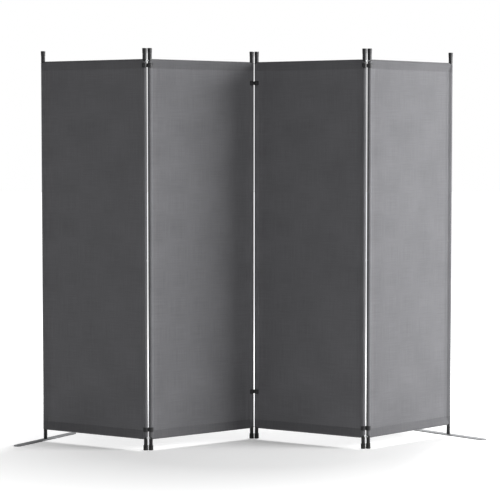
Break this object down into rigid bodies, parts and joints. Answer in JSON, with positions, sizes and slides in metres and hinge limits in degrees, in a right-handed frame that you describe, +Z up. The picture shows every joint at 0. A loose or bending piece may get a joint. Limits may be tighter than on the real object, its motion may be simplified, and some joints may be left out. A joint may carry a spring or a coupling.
{
  "type": "folding screen",
  "caption": "Free-standing fabric folding screen: narrow tube-framed panels joined in a zigzag by clips, with a flat swivelling foot under each end.",
  "frame": {"origin": "on the floor, at the middle of the box round the whole screen as it stands", "axes": "+X along the screen's width, +Z up; the front, as it is pictured, faces -Y"},
  "size_m": [2.0756, 0.5867, 1.715],
  "materials": {
    "tube_paint": "satin",
    "plate_paint": "satin",
    "zinc": "satin",
    "black_plastic": "matte",
    "rubber": "matte",
    "cloth": "matte"
  },
  "bodies": {
    "panel_1": {"panel_1_left_lower_tube": "tube_paint", "panel_1_left_upper_tube": "tube_paint", "panel_1_right_lower_tube": "tube_paint", "panel_1_right_upper_tube": "tube_paint", "panel_1_bottom_crossbar": "tube_paint", "panel_1_top_crossbar": "tube_paint", "panel_1_bar_plugs": "black_plastic", "panel_1_bar_screws": "zinc", "panel_1_snap_buttons": "zinc", "panel_1_post_caps": "black_plastic", "panel_1_rubber_feet": "rubber", "panel_1_fabric": "cloth", "left_end_plug": "black_plastic"},
    "panel_2": {"panel_2_left_lower_tube": "tube_paint", "panel_2_left_upper_tube": "tube_paint", "panel_2_right_lower_tube": "tube_paint", "panel_2_right_upper_tube": "tube_paint", "panel_2_bottom_crossbar": "tube_paint", "panel_2_top_crossbar": "tube_paint", "panel_2_bar_plugs": "black_plastic", "panel_2_bar_screws": "zinc", "panel_2_snap_buttons": "zinc", "panel_2_post_caps": "black_plastic", "panel_2_rubber_feet": "rubber", "panel_2_fabric": "cloth", "fold_1_bottom_clip": "black_plastic", "fold_1_top_clip": "black_plastic", "fold_2_bottom_clip": "black_plastic", "fold_2_top_clip": "black_plastic"},
    "panel_3": {"panel_3_left_lower_tube": "tube_paint", "panel_3_left_upper_tube": "tube_paint", "panel_3_right_lower_tube": "tube_paint", "panel_3_right_upper_tube": "tube_paint", "panel_3_bottom_crossbar": "tube_paint", "panel_3_top_crossbar": "tube_paint", "panel_3_bar_plugs": "black_plastic", "panel_3_bar_screws": "zinc", "panel_3_snap_buttons": "zinc", "panel_3_post_caps": "black_plastic", "panel_3_rubber_feet": "rubber", "panel_3_fabric": "cloth", "fold_3_bottom_clip": "black_plastic", "fold_3_top_clip": "black_plastic"},
    "panel_4": {"panel_4_left_lower_tube": "tube_paint", "panel_4_left_upper_tube": "tube_paint", "panel_4_right_lower_tube": "tube_paint", "panel_4_right_upper_tube": "tube_paint", "panel_4_bottom_crossbar": "tube_paint", "panel_4_top_crossbar": "tube_paint", "panel_4_bar_plugs": "black_plastic", "panel_4_bar_screws": "zinc", "panel_4_snap_buttons": "zinc", "panel_4_post_caps": "black_plastic", "panel_4_rubber_feet": "rubber", "panel_4_fabric": "cloth", "right_end_plug": "black_plastic"},
    "left_foot": {"left_foot_plate": "plate_paint", "left_foot_screw": "zinc"},
    "right_foot": {"right_foot_plate": "plate_paint", "right_foot_screw": "zinc"}
  },
  "joints": [
    {"name": "fold_1_hinge", "type": "hinge", "parent": "panel_2", "child": "panel_1", "pos_m": [-0.45826, -0.28291, 0.8575], "axis": [0, 0, 1], "range_deg": [-90.8, 152.2]},
    {"name": "fold_2_hinge", "type": "hinge", "parent": "panel_2", "child": "panel_3", "pos_m": [0.01767, 0.03641, 0.8575], "axis": [0, 0, 1], "range_deg": [-92.4, 137.6]},
    {"name": "fold_3_hinge", "type": "hinge", "parent": "panel_3", "child": "panel_4", "pos_m": [0.49752, -0.2396, 0.8575], "axis": [0, 0, -1], "range_deg": [-82.6, 160.4]},
    {"name": "left_foot_swivel", "type": "hinge", "parent": "panel_1", "child": "left_foot", "pos_m": [-0.91818, -0.00765, 0.004], "axis": [0, 0, 1], "range_deg": [-90, 90]},
    {"name": "right_foot_swivel", "type": "hinge", "parent": "panel_4", "child": "right_foot", "pos_m": [0.88244, 0.13341, 0.004], "axis": [0, 0, 1], "range_deg": [-90, 90]}
  ]
}
